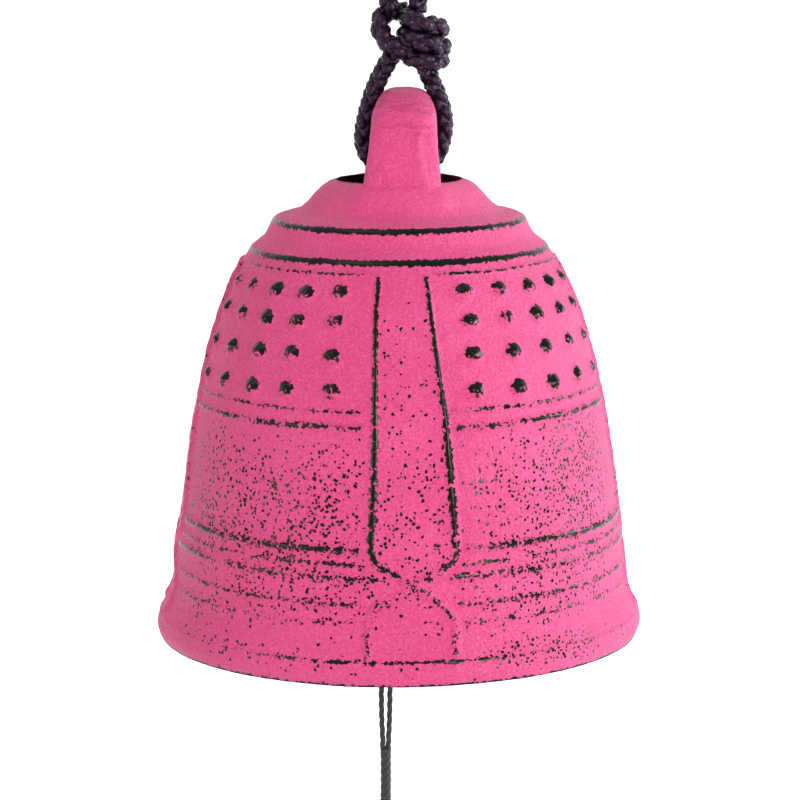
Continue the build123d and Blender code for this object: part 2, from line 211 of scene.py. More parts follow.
def braid_material():
    """Dark purple silky yarn: fine fibres run along each strand of the braid."""
    nodes = Nodes("braided_cord")
    strand = nodes.attribute("strand", "Vector")
    fibre = nodes.noise(strand, 7.0, 3.0, 0.6)
    tone = nodes.noise(nodes.place(), 350.0, 2.0)
    colour = nodes.mix(fibre, (0.002, 0.001, 0.0025, 1), (0.013, 0.006, 0.015, 1))
    colour = nodes.mix(nodes.ramp(tone, 0.35, 0.7, 0.0, 0.5), colour, (0.010, 0.005, 0.012, 1))
    nodes.set(
        Base_Color=colour,
        Roughness=nodes.ramp(fibre, 0.2, 0.8, 0.28, 0.12),
        Specular_IOR_Level=0.29,
        Specular_Tint=(1.0, 0.56, 1.0, 1),
        Normal=nodes.bump(fibre, 0.6, 0.10),
    )
    return nodes.material


def thread_material():
    """Black waxed thread with a dull grey shine."""
    nodes = Nodes("thread")
    strand = nodes.attribute("strand", "Vector")
    fibre = nodes.noise(strand, 7.0, 3.0, 0.6)
    nodes.set(
        Base_Color=nodes.mix(fibre, (0.010, 0.009, 0.009, 1), (0.048, 0.044, 0.045, 1)),
        Roughness=nodes.ramp(fibre, 0.2, 0.8, 0.62, 0.45),
        Specular_IOR_Level=0.30,
        Sheen_Weight=0.12,
        Sheen_Roughness=0.5,
        Normal=nodes.bump(fibre, 0.5, 0.05),
    )
    return nodes.material


def iron_material():
    """Bare dark cast iron with a fine sandy skin and a worn, brighter rim."""
    nodes = Nodes("clapper_iron")
    place = nodes.place()
    grain = nodes.noise(place, 2200.0, 4.0, 0.65)
    patches = nodes.noise(place, 260.0, 3.0)
    rim = nodes.attribute("rim")
    colour = nodes.mix(nodes.ramp(patches, 0.3, 0.7), (0.022, 0.020, 0.019, 1), (0.050, 0.043, 0.038, 1))
    shine = nodes.ramp(nodes.math("ADD", rim, nodes.math("MULTIPLY", grain, 0.6)), 0.9, 1.3)
    nodes.set(
        Base_Color=nodes.mix(shine, colour, (0.20, 0.19, 0.18, 1)),
        Metallic=nodes.ramp(shine, 0.0, 1.0, 0.35, 0.9),
        Roughness=nodes.ramp(grain, 0.3, 0.7, 0.62, 0.42),
        Normal=nodes.bump(grain, 0.5, 0.15),
    )
    return nodes.material


def paper_material():
    """Blank handmade paper: warm white with long soft fibres and a faint mottle."""
    nodes = Nodes("paper")
    place = nodes.place()
    stretch = nodes.add("Mapping", Vector=place, Scale=(1.0, 1.0, 0.18))
    fibre = nodes.noise(stretch.outputs["Vector"], 1400.0, 4.0, 0.65)
    mottle = nodes.noise(place, 120.0, 3.0)
    colour = nodes.mix(nodes.ramp(mottle, 0.3, 0.7), (0.80, 0.77, 0.70, 1), (0.86, 0.84, 0.78, 1))
    colour = nodes.mix(nodes.ramp(fibre, 0.60, 0.75, 0.0, 0.5), colour, (0.70, 0.65, 0.56, 1))
    nodes.set(
        Base_Color=colour,
        Roughness=nodes.ramp(fibre, 0.3, 0.7, 0.85, 0.72),
        Normal=nodes.bump(fibre, 0.4, 0.08),
    )
    return nodes.material


# Mesh helpers

class Mesh:
    """Vertices, faces and stored values of one piece, gathered from several shapes."""

    def __init__(self):
        self.points, self.faces, self.values = [], [], {}
        self.count = 0

    def add(self, points, faces, **values):
        """Add a shape: its points, its faces by number, and a value or vector for each point."""
        points = np.asarray(points, float).reshape(-1, 3)
        self.points.append(points)
        self.faces += [tuple(int(i) + self.count for i in face) for face in faces]
        self.count += len(points)
        for key, value in values.items():
            self.values.setdefault(key, []).append(np.asarray(value, float))

    def piece(self, name, body, slot, material, *nodes):
        """Smooth object that stands for these nodes and hides them; it rides on a named body, and a body
        given any other way leaves it fixed in place.
        """
        mesh = bpy.data.meshes.new(name)
        mesh.from_pydata(np.concatenate(self.points).tolist(), [], self.faces)
        for key, parts in self.values.items():
            values = np.concatenate(parts)
            kind, field = ("FLOAT_VECTOR", "vector") if values.ndim == 2 else ("FLOAT", "value")
            layer = mesh.attributes.new(key, kind, "POINT")
            layer.data.foreach_set(field, values.astype(np.float32).ravel())
        mesh.shade_smooth()
        mesh.validate()
        mesh.materials.append(material)
        obj = bpy.data.objects.new(name, mesh)
        bpy.context.collection.objects.link(obj)
        if isinstance(body, str):
            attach(obj, body)
        else:
            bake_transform(obj)
        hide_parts(*nodes)
        return obj


def grid_faces(rows, columns):
    """Quads between rows of points that run round a shape."""
    faces = []
    for row in range(rows - 1):
        for column in range(columns):
            after = (column + 1) % columns
            here, there = row * columns, (row + 1) * columns
            faces.append((here + column, here + after, there + after, there + column))
    return faces


def capped_faces(rows, columns):
    """Faces of a closed tube: the rows of quads and a flat cap at each end."""
    last = (rows - 1) * columns
    caps = [tuple(range(columns))[::-1], tuple(range(last, last + columns))]
    return grid_faces(rows, columns) + caps


# Cords

def route_line(controls):
    """Points in metres along the smooth line that a route's points control."""
    data = bpy.data.curves.new("route", "CURVE")
    data.dimensions = "3D"
    data.resolution_u = 32
    spline = data.splines.new("NURBS")
    spline.points.add(len(controls) - 1)
    for point, control in zip(spline.points, controls):
        point.co = (*at(*control), 1.0)
    spline.order_u = 3
    spline.use_endpoint_u = True
    curve = bpy.data.objects.new("route", data)
    mesh = bpy.data.meshes.new_from_object(curve)
    line = np.array([vertex.co[:] for vertex in mesh.vertices])
    bpy.data.objects.remove(curve)
    bpy.data.curves.remove(data)
    bpy.data.meshes.remove(mesh)
    return line


def distances(points):
    """How far along a line each of its points lies."""
    return np.concatenate(([0], np.cumsum(np.linalg.norm(np.diff(points, axis=0), axis=1))))


class Track:
    """Places along a line by distance, each with its direction and two steady sides."""

    def __init__(self, line):
        steps = np.linalg.norm(np.diff(line, axis=0), axis=1)
        keep = np.concatenate(([True], steps > 1e-9))
        self.line = line[keep]
        self.along = np.concatenate(([0], np.cumsum(steps[steps > 1e-9])))
        self.length = self.along[-1]
        ahead = np.gradient(self.line, self.along, axis=0)
        self.ahead = ahead / np.linalg.norm(ahead, axis=1)[:, None]
        side = Vector((0, 1, 0)) if abs(self.ahead[0][1]) < 0.9 else Vector((1, 0, 0))
        sides = []
        for direction in self.ahead:
            direction = Vector(direction)
            side = (side - direction * side.dot(direction)).normalized()
            sides.append(side[:])
        self.side = np.array(sides)
        self.other = np.cross(self.ahead, self.side)

    def places(self, along, across, angle):
        """Points at a distance along the line, a distance from it and an angle round it."""
        def read(table):
            return np.stack([np.interp(along, self.along, table[:, axis]) for axis in range(3)], axis=-1)
        out = np.cos(angle)[..., None] * read(self.side) + np.sin(angle)[..., None] * read(self.other)
        past = (along - np.clip(along, 0, self.length))[..., None] * read(self.ahead)
        return read(self.line) + past + np.asarray(across)[..., None] * out


TUBE_SIDES = 12
# Braid: its columns and core, and a leaf's half sizes as shares of the leaves' spacing or the cord's radius
BRAID_COLUMNS = 4
BRAID_CORE_SHARE = 0.66
LEAF_ROWS = 9
LEAF_SIDES = 10
LEAF_SLANT = math.radians(36)
LEAF_LENGTH_SHARE = 0.76
LEAF_WIDTH_SHARE = 0.50
LEAF_THICK_SHARE = 0.45
LEAF_DIP = 0.62
# Twisted thread: a ply's share of the thread's radius, and the steps in one of its turns
PLY_SHARE = 0.52
PLY_STEPS = 14


def add_tube(mesh, track, radius, step):
    """Plain round tube along a track."""
    rows = max(3, round(track.length / step))
    along = np.repeat(np.linspace(0, track.length, rows), TUBE_SIDES)
    angle = np.tile(np.arange(TUBE_SIDES) * 2 * math.pi / TUBE_SIDES, rows)
    points = track.places(along, np.full(len(along), radius), angle)
    strand = np.stack([np.cos(angle), along / radius, np.sin(angle)], axis=1)
    mesh.add(points, capped_faces(rows, TUBE_SIDES), strand=strand)


def add_braid(mesh, track, radius, spacing, turn=0.0):
    """Round plait: four columns of slanted leaves, each a strand that comes up over its neighbours."""
    add_tube(mesh, track, radius * BRAID_CORE_SHARE, spacing / 2)
    half_thick = radius * LEAF_THICK_SHARE
    middle = radius - half_thick
    lengthwise = -np.cos(np.linspace(0, math.pi, LEAF_ROWS))[1:-1]
    around = np.arange(LEAF_SIDES) * 2 * math.pi / LEAF_SIDES
    u = np.concatenate(([-1.0], np.repeat(lengthwise, LEAF_SIDES), [1.0]))
    v = np.concatenate(([0.0], np.tile(around, LEAF_ROWS - 2), [0.0]))
    bulge = np.sqrt(np.clip(1 - u * u, 0, 1)) ** 0.9
    lean = spacing * LEAF_LENGTH_SHARE * u
    wide = radius * LEAF_WIDTH_SHARE * bulge * np.cos(v)
    rise = half_thick * (bulge * np.sin(v) - LEAF_DIP * u * u)
    last = len(u) - 1
    faces = [tuple(1 + i for i in face) for face in grid_faces(LEAF_ROWS - 2, LEAF_SIDES)]
    for i in range(LEAF_SIDES):
        after = (i + 1) % LEAF_SIDES
        faces.append((0, 1 + after, 1 + i))
        faces.append((last, last - LEAF_SIDES + i, last - LEAF_SIDES + after))
    for column in range(BRAID_COLUMNS):
        hand = 1 if column % 2 else -1
        start = spacing * (0.25 + 0.5 * (column % 2))
        for index in range(int((track.length - start) / spacing) + 1):
            along = start + index * spacing
            along = along + lean * math.cos(LEAF_SLANT) - hand * wide * math.sin(LEAF_SLANT)
            arc = hand * lean * math.sin(LEAF_SLANT) + wide * math.cos(LEAF_SLANT)
            angle = turn + math.pi / 4 + column * math.pi / 2 + arc / middle
            points = track.places(np.clip(along, 0, track.length), middle + rise, angle)
            seed = np.full(len(u), index * 3.7 + column * 11.3)
            strand = np.stack([np.cos(v) * 1.6, u * 0.25, seed], axis=1)
            mesh.add(points, faces, strand=strand)


def add_plies(mesh, track, radius, pitch, plies, turn):
    """Twisted thread: round plies that wind about the track."""
    ply = radius * PLY_SHARE
    step = pitch / PLY_STEPS
    rows = max(8, round(track.length / step))
    line_along = np.linspace(0, track.length, rows)
    for index in range(plies):
        wind = turn + 2 * math.pi * (line_along / pitch + index / plies)
        winding = Track(track.places(line_along, np.full(rows, radius - ply), wind))
        add_tube(mesh, winding, ply, step)


# Braided cord: its route's points in millimetres, as in the part's source
CORD = 3.0
LEAF_SPACING = 2.3
SLING_ROUTE = (
    (0.4, 0.6, 82.0), (-2.75, 0.0, 77.9), (-4.925, 0.0, 70.6), (-4.925, 0.0, 67.3), (-3.3, 0.0, 65.4),
    (4.4, 0.0, 65.4), (5.7, 0.0, 67.3), (6.45, 0.0, 71.6), (4.6, 0.0, 76.6), (2.4, 0.4, 81.0),
)
LOOP_ROUTE = (
    (-1.3, 0.0, 86.0), (-4.5, 0.0, 116.0), (-4.5, 0.0, 121.4), (-3.4, 0.0, 125.5), (3.4, 0.0, 125.5),
    (4.5, 0.0, 121.4), (4.5, 0.0, 116.0), (2.5, 0.0, 86.0),
)
# Knot: a turn that comes over on the left, and a coil of the cord round both legs on the right
KNOT_LEFT_ROUTE = (
    (1.0, 2.2, 86.1), (-2.2, 1.6, 86.3), (-2.7, -1.2, 83.7), (-1.7, -2.3, 81.8), (1.0, -2.2, 81.0),
    (3.4, -0.2, 80.5),
)
KNOT_RIGHT_ROUTE = (
    (1.5, 1.8, 85.4), (0.6, -1.8, 85.4), (3.2, -3.4, 84.6), (5.9, -1.2, 84.0), (5.2, 2.2, 83.4),
    (1.4, 2.4, 83.0), (0.5, -2.0, 82.9), (3.4, -3.7, 82.1), (6.3, -1.4, 81.5), (5.4, 2.1, 81.0),
    (1.8, 2.3, 80.6), (0.9, -1.8, 80.3), (3.6, -3.1, 79.3), (5.9, -1.3, 79.6), (5.0, 1.6, 79.8),
    (2.6, 2.0, 79.8),
)

# Bodies and heights of the sling below the knot; given as its body, they leave the sling fixed in place
SLING_BEND = ("hanger", "sling", at(0, 0, 81.5), at(0, 0, 75.5))

cord_look = braid_material()


def braided_piece(name, body, routes, *nodes):
    """One piece of braided cord along one or more routes."""
    mesh = Mesh()
    lines = [route_line(route) for route in routes]
    for index, line in enumerate(lines):
        add_braid(mesh, Track(line), CORD / 2 * MM, LEAF_SPACING * MM, index * 0.4)
    return mesh.piece(name, body, "braided_cord", cord_look, *nodes), lines[0]


knot, _ = braided_piece("knot_braid", "hanger", (KNOT_LEFT_ROUTE, KNOT_RIGHT_ROUTE), "hanging_knot")
loop, loop_line = braided_piece("hanging_loop_braid", "hanger", (LOOP_ROUTE,), "hanging_loop")
sling, sling_line = braided_piece("sling_braid", SLING_BEND, (SLING_ROUTE,), "cord_sling")

# Thread: doubled, a little left of the bell's axis
THREAD = 0.64
THREAD_X = -1.9
STRAND_RADIUS = 0.41
PLY_PITCH = 4.4
HITCH_HEIGHT = 65.7
HITCH_RING = 1.92
HITCH_SIDE = 0.3
KNOT_RADIUS = 1.0
KNOT_LAY = 0.25
KNOT_DEPTH_SHARE = 0.55
HITCH_KNOT_HEIGHT = 62.36
STOP_KNOT_HEIGHT = 14.65
STOP_KNOT_RADIUS = 1.6
STRIP_KNOT_HEIGHT = -26.0
TWIST_TOP = -17.0
TWIST_RADIUS = 0.78
TWIST_PITCH = 4.6
TWIST_PLIES = 4
# Routes' points of the strands and of the twist: sideways from the thread's middle, deep, and height
CLAPPER_STRAND_ROUTE = (
    (0.2, 0.0, HITCH_KNOT_HEIGHT - 0.4),
    (0.6, 0.0, HITCH_KNOT_HEIGHT - 4.0),
    (0.7, 0.15, 40.0),
    (0.6, 0.0, STOP_KNOT_HEIGHT + 5.0),
    (0.3, 0.0, STOP_KNOT_HEIGHT + 0.6),
)
SAIL_STRAND_ROUTE = (
    (0.3, 0.0, STOP_KNOT_HEIGHT - 0.8),
    (0.6, 0.0, STOP_KNOT_HEIGHT - 3.0),
    (0.65, 0.1, -2.0),
    (0.6, 0.0, TWIST_TOP + 4.0),
    (0.38, 0.0, TWIST_TOP),
    (0.38, 0.0, TWIST_TOP - 1.5),
)
TWIST_ROUTE = (
    (0.0, 0.0, TWIST_TOP - 0.8),
    (0.05, 0.0, TWIST_TOP - 4.0),
    (0.0, 0.0, STRIP_KNOT_HEIGHT + 0.5),
)
# Bodies and heights of the thread below the stop knot; given as its body, they leave the strands fixed in
# place
SAIL_BEND = (
    "clapper", "sail", at(THREAD_X, 0, STOP_KNOT_HEIGHT - 1.4), at(THREAD_X, 0, STOP_KNOT_HEIGHT - 5.0)
)

thread_look = thread_material()


def ring_line(centre, radius, normal, count=48):
    """Points of a ring."""
    axis = Vector(normal).normalized()
    side = axis.orthogonal().normalized()
    other = axis.cross(side)
    angles = np.linspace(0, 2 * math.pi, count)
    return np.array([(centre + (side * math.cos(a) + other * math.sin(a)) * radius)[:] for a in angles])


def overhand_line(centre, radius, count=72):
    """Closed line of a drawn-up overhand knot."""
    angles = np.linspace(0, 2 * math.pi, count)
    across = np.sin(angles) + 2 * np.sin(2 * angles)
    up = np.cos(angles) - 2 * np.cos(2 * angles)
    deep = -np.sin(3 * angles)
    shape = np.stack([across * radius / 3, deep * radius * KNOT_DEPTH_SHARE, up * radius / 3], axis=1)
    return shape + np.array(centre[:])


def thread_line(route, side=1):
    """Line of a strand on one side of the thread's middle."""
    return route_line([(THREAD_X + side * aside, deep, height) for aside, deep, height in route])


def thread_piece(name, body, lines, radius, pitch, *nodes, plies=3):
    """One piece of twisted thread along one or more lines."""
    mesh = Mesh()
    for index, line in enumerate(lines):
        add_plies(mesh, Track(line), radius * MM, pitch * MM, plies, turn=index * 1.3)
    return mesh.piece(name, body, "thread", thread_look, *nodes)


def knot_piece(name, body, height, radius, *nodes):
    """Small knot of the doubled thread."""
    centre = at(THREAD_X, 0, height)
    path = (radius - THREAD / 2) * MM
    shifts = (-KNOT_LAY, KNOT_LAY)
    lines = [overhand_line(centre + Vector((0, shift * MM, 0)), path) for shift in shifts]
    return thread_piece(name, body, lines, THREAD / 2, PLY_PITCH / 2, *nodes)


def strand_pair(stretch, body, route, left_pieces, right_pieces):
    """Left and right strand of the doubled thread; the other pieces given for each side are not used."""
    for hand, side, more in (("left", -1, left_pieces), ("right", 1, right_pieces)):
        line = thread_line(route, side)
        strand = thread_piece(
            f"{stretch}_strand_{hand}", body, [line], STRAND_RADIUS, PLY_PITCH, f"{stretch}_thread_{hand}"
        )


hitch_lines = [
    ring_line(at(THREAD_X + side * HITCH_SIDE, 0, HITCH_HEIGHT), HITCH_RING * MM, (1, 0, 0))
    for side in (-1, 1)
]
hitch = thread_piece("thread_hitch_turns", "bell", hitch_lines, THREAD / 2, PLY_PITCH / 2, "thread_hitch")
hitch_knot = knot_piece("hitch_overhand", "thread_top", HITCH_KNOT_HEIGHT, KNOT_RADIUS, "hitch_knot")
stop_knot = knot_piece("stop_overhand", "clapper", STOP_KNOT_HEIGHT, STOP_KNOT_RADIUS, "stop_knot")
strip_knot = knot_piece("strip_overhand", "strip_top", STRIP_KNOT_HEIGHT, KNOT_RADIUS, "strip_knot")

strand_pair("clapper", "clapper", CLAPPER_STRAND_ROUTE, [hitch, hitch_knot], [stop_knot])

# Loop of thread through the strip's hole, drawn up to the knot
STRIP_LOOP_TOP = -26.9
STRIP_LOOP_FOOT = -33.3
STRIP_LOOP_SIDE = 0.9
STRIP_LOOP_ROUND = 1.2
loop_heights = [STRIP_LOOP_TOP, STRIP_LOOP_TOP - STRIP_LOOP_ROUND]
loop_heights += [STRIP_LOOP_FOOT + STRIP_LOOP_ROUND, STRIP_LOOP_FOOT]
loop_top, loop_foot = (THREAD_X, 0, STRIP_LOOP_TOP), (THREAD_X, 0, STRIP_LOOP_FOOT)
loop_front = [(THREAD_X, -STRIP_LOOP_SIDE, height) for height in loop_heights]
loop_back = [(THREAD_X, STRIP_LOOP_SIDE, height) for height in loop_heights[::-1]]
strip_loop_line = route_line([loop_top, *loop_front, loop_foot, *loop_back, loop_top])
strip_loop = thread_piece(
    "strip_thread_loop", "strip", [strip_loop_line], THREAD / 2, PLY_PITCH / 2, "strip_loop"
)

# Below the bell: two strands that run into their twist
twist = thread_piece(
    "thread_twist", "sail", [thread_line(TWIST_ROUTE)], TWIST_RADIUS, TWIST_PITCH, "twisted_thread",
    plies=TWIST_PLIES,
)
strand_pair("sail", SAIL_BEND, SAIL_STRAND_ROUTE, [twist, strip_knot], [strip_loop])


# Bell casting
WALL_STEP = 0.25
WALL_COLUMNS = 720
WALL_SHARES = (
    (0.988, 0.051), (0.973, 0.069), (0.944, 0.104), (0.926, 0.158), (0.902, 0.266), (0.856, 0.445),
    (0.788, 0.621), (0.700, 0.762), (0.624, 0.837), (0.603, 0.853),
)
LIP_SHARES = ((0.982, -0.002), (1.000, 0.024), (0.988, 0.051))
LOW_STEP_SHARES = ((0.603, 0.853), (0.590, 0.861), (0.548, 0.880), (0.522, 0.905), (0.511, 0.914))
HIGH_STEP_SHARES = (
    (0.511, 0.914), (0.496, 0.921), (0.424, 0.932), (0.383, 0.946), (0.350, 0.965), (0.319, 0.982),
    (0.270, 0.997), (0.253, 0.998),
)
INNER_SHARES = (
    (0.253, 0.903), (0.430, 0.868), (0.556, 0.804), (0.635, 0.726), (0.715, 0.600), (0.774, 0.442),
    (0.818, 0.268), (0.853, 0.126), (0.890, 0.000),
)
# Raised lines round the bell: height, half width and rise, how far the paint is rubbed off and how broken
RING_SHARES = (0.830, 0.557, 0.525, 0.2765, 0.246, 0.219, 0.164, 0.125)
RING_HALF_WIDTHS = (0.50, 0.55, 0.80, 1.00, 0.70, 1.10, 0.75, 0.70)
RING_RISES = (0.20, 0.22, 0.38, 0.40, 0.26, 0.34, 0.26, 0.22)
RING_WEAR_SHARES = (0.60, 0.60, 0.68, 0.68, 0.58, 0.56, 0.56, 0.46)
RING_BREAKS = (0.6, 0.6, 0.6, 0.55, 0.6, 0.5, 0.7, 0.7)
RING_WANDER = 0.14
RING_FREE = 0.9
RING_FADE = 0.7
EDGE_SHARES = (0.914, 0.853, 0.051)
EDGE_HALF_WIDTHS = (0.92, 0.95, 0.60)
EDGE_BREAKS = (0.2, 0.2, 0.8)
EDGE_RISE = 0.14
EDGE_WANDER = 0.06
# Wear of the two step edges and of the lip's edge by the angle round the bell from the front
EDGE_ANGLES = (-180, -95, -70, -40, -5, 20, 35, 50, 70, 95, 180)
EDGE_WEAR_SHARES = (
    (0.9, 0.60, 0.82, 1.0, 1.15, 1.25, 0.85, 0.80, 0.95, 0.60, 0.9),
    (0.9, 0.60, 0.82, 1.0, 1.10, 1.20, 1.00, 0.85, 0.95, 0.60, 0.9),
    (0.5, 0.20, 0.20, 0.40, 0.74, 0.72, 0.45, 0.34, 0.25, 0.2, 0.5),
)
CASTING_SLANT = 0.007
BAND_LEFT_SHARES = (
    (-0.079, 0.822), (-0.089, 0.740), (-0.093, 0.520), (-0.095, 0.430), (-0.110, 0.275),
    (-0.085, 0.247), (0.064, 0.204), (0.195, 0.148), (0.220, 0.118), (0.221, 0.066),
)
BAND_RIGHT_SHARES = (
    (0.105, 0.822), (0.183, 0.520), (0.221, 0.275), (0.202, 0.247), (0.064, 0.204), (-0.098, 0.156),
    (-0.120, 0.126), (-0.121, 0.066),
)
BAND_LINE_HEIGHTS = (16.0, 33.0, 40.0, 52.0)
BAND_HALF_WIDTHS = (1.02, 0.96, 0.66, 0.62)
BAND_RISE = 0.42
BAND_CLEAR = 1.6
BAND_UNEVEN = 0.25
# A band is looked for where the wall faces out with it; elsewhere it counts as far away
BAND_FACE = 0.6
FAR = 1e3
BAND_WEAR_HEIGHTS = (8.0, 11.5, 14.0, 18.0, 40.0)
BAND_WEAR_SHARES = (0.49, 0.52, 0.64, 0.86, 0.97)
BAND_QUARTER_WEARS = (1.0, 0.40, 0.95, 0.40)
BAND_QUARTERS = 4
STUD_ROW_SHARES = (0.791, 0.734, 0.666, 0.594)
PANEL_ANGLES = (49.0, 135.0, 225.0, 314.0)
STUD_STEP_ANGLES = (13.2, 13.1, 13.3, 13.5)
STUD_COLUMNS = 5
STUD_REACH = 1.8
STUD_RISE = 0.75
STUD_SHIFT = 0.2
STUD_UNEVEN = 0.22
# Rubbed patch of a stud: its squeeze across and shift up, where it starts and is full, and its wear by height
PATCH_SQUEEZE = 0.86
PATCH_SHIFT = 0.15
PATCH_START = 0.18
PATCH_FADE = 0.3
PATCH_HEIGHTS = (-1.0, 0.5)
PATCH_LOW_WEAR = 0.36
PATCH_WEAR = 0.90
PATCH_WEAR_SPREAD = 0.15
# Rim and inside: wear of the rim's broken line, its breaks and half width, and the bare inside
RIM_WEAR = 0.85
RIM_BREAK = 0.6
RIM_HALF_WIDTH = 0.7
INSIDE_WEAR = 1.6
# Where the rubbed specks lie: angle from the front and its half spread, height and its half spread, share
SPECK_FIELDS = (
    (54, 28, 25.0, 11.5, 0.95),
    (36, 26, 23.5, 11.0, 0.62),
    (-27, 30, 22.0, 12.0, 0.80),
    (-58, 34, 23.0, 12.0, 0.52),
    (74, 24, 22.0, 12.0, 0.45),
    (42, 34, 12.0, 7.5, 0.55),
    (-26, 30, 12.0, 6.5, 0.50),
    (-62, 26, 10.0, 7.0, 0.26),
    (36, 24, 3.2, 3.0, 0.85),
    (-32, 34, 3.4, 2.6, 0.25),
    (150, 40, 22.0, 11.0, 0.60),
    (-145, 42, 20.0, 11.0, 0.60),
    (150, 50, 9.0, 7.0, 0.50),
    (-140, 50, 10.0, 7.0, 0.50),
)
SPECK_TOP = 33.8
SPECK_LEAST = 0.05
SPECK_GAIN = 1.8
SPECK_DRIFT = 0.5
# Beside a band the specks thin out to this share
SPECK_BAND_SHARE = 0.25
SPECK_FREE = 0.4
SPECK_FADE = 1.6
BAND_SPECK_HEIGHTS = (0.0, 6.0, 10.0, 14.0, 20.0, 26.0, 36.0, 46.0, 52.0)
BAND_SPECK_SHARES = (0.05, 0.06, 0.20, 0.36, 0.36, 0.28, 0.20, 0.12, 0.0)
# Cast skin: layers of noise by depth, size and seed, and how far the skin is sunk to stay within the solid
WALL_SKIN = ((0.05, 1.0, 1), (0.05, 6.0, 2), (0.10, 22.0, 3))
ARCH_SKIN = ((0.10, 4.5, 5), (0.05, 1.6, 6))
CLAPPER_SKIN = ((0.05, 1.6, 7), (0.06, 7.0, 8))
SKIN_SINK = 0.1


def curve_through(points, step):
    """Evenly spaced points on a smooth curve through the given ones."""
    points = np.array(points, float)
    knots = distances(points)
    gaps = np.diff(knots)
    system, pull = np.eye(len(points)), np.zeros_like(points)
    for i in range(1, len(points) - 1):
        system[i, i - 1:i + 2] = gaps[i - 1], 2 * (gaps[i - 1] + gaps[i]), gaps[i]
        slopes = (points[i + 1] - points[i]) / gaps[i], (points[i] - points[i - 1]) / gaps[i - 1]
        pull[i] = 6 * (slopes[0] - slopes[1])
    bend = np.linalg.solve(system, pull)
    t = np.linspace(0, knots[-1], max(2, round(knots[-1] / step) + 1))
    i = np.clip(np.searchsorted(knots, t, side="right") - 1, 0, len(gaps) - 1)
    gap = gaps[i][:, None]
    past, rest = (t - knots[i])[:, None], (knots[i + 1] - t)[:, None]
    bent = (bend[i] * rest ** 3 + bend[i + 1] * past ** 3) / (6 * gap)
    before = points[i] / gap - bend[i] * gap / 6
    after = points[i + 1] / gap - bend[i + 1] * gap / 6
    return bent + (before * rest + after * past)


def on_body(shares):
    """Radius and height from shares of the body."""
    return [(MOUTH_RADIUS * across, BODY_HEIGHT * rise) for across, rise in shares]


def swell(distance, half_width):
    """1 in the middle of a ridge, falling smoothly to 0 at its foot."""
    t = np.clip(1 - np.abs(distance) / half_width, 0, 1)
    return t * t * (3 - 2 * t)


def wander(angles, scale, seed):
    """Slow change round the bell, from -1 to 1."""
    return np.array([
        noise.noise(Vector((math.cos(a) * scale, math.sin(a) * scale, seed * 7.31))) for a in angles
    ])


def cast_noise(points, size, seed):
    """Noise from -1 to 1 at points in millimetres."""
    shift = Vector((seed * 3.1, seed * 5.7, seed * 1.9))
    return np.array([noise.noise(Vector(point) / size + shift) for point in points])


def cast_skin(points, layers):
    """Rise of the cast skin at points in millimetres: the sum of its layers of noise."""
    return sum(depth * cast_noise(points, size, seed) for depth, size, seed in layers)


def spread(index):
    """Steady scattered number from -1 to 1."""
    return math.modf(math.sin(index * 12.9898) * 43758.5453)[0]


def line_distance(x, z, line):
    """Distance of points from a line of straight stretches."""
    nearest = np.full(np.broadcast(x, z).shape, np.inf)
    for (x0, z0), (x1, z1) in zip(line, line[1:]):
        dx, dz = x1 - x0, z1 - z0
        t = np.clip(((x - x0) * dx + (z - z0) * dz) / (dx * dx + dz * dz), 0, 1)
        nearest = np.minimum(nearest, np.hypot(x - x0 - t * dx, z - z0 - t * dz))
    return nearest


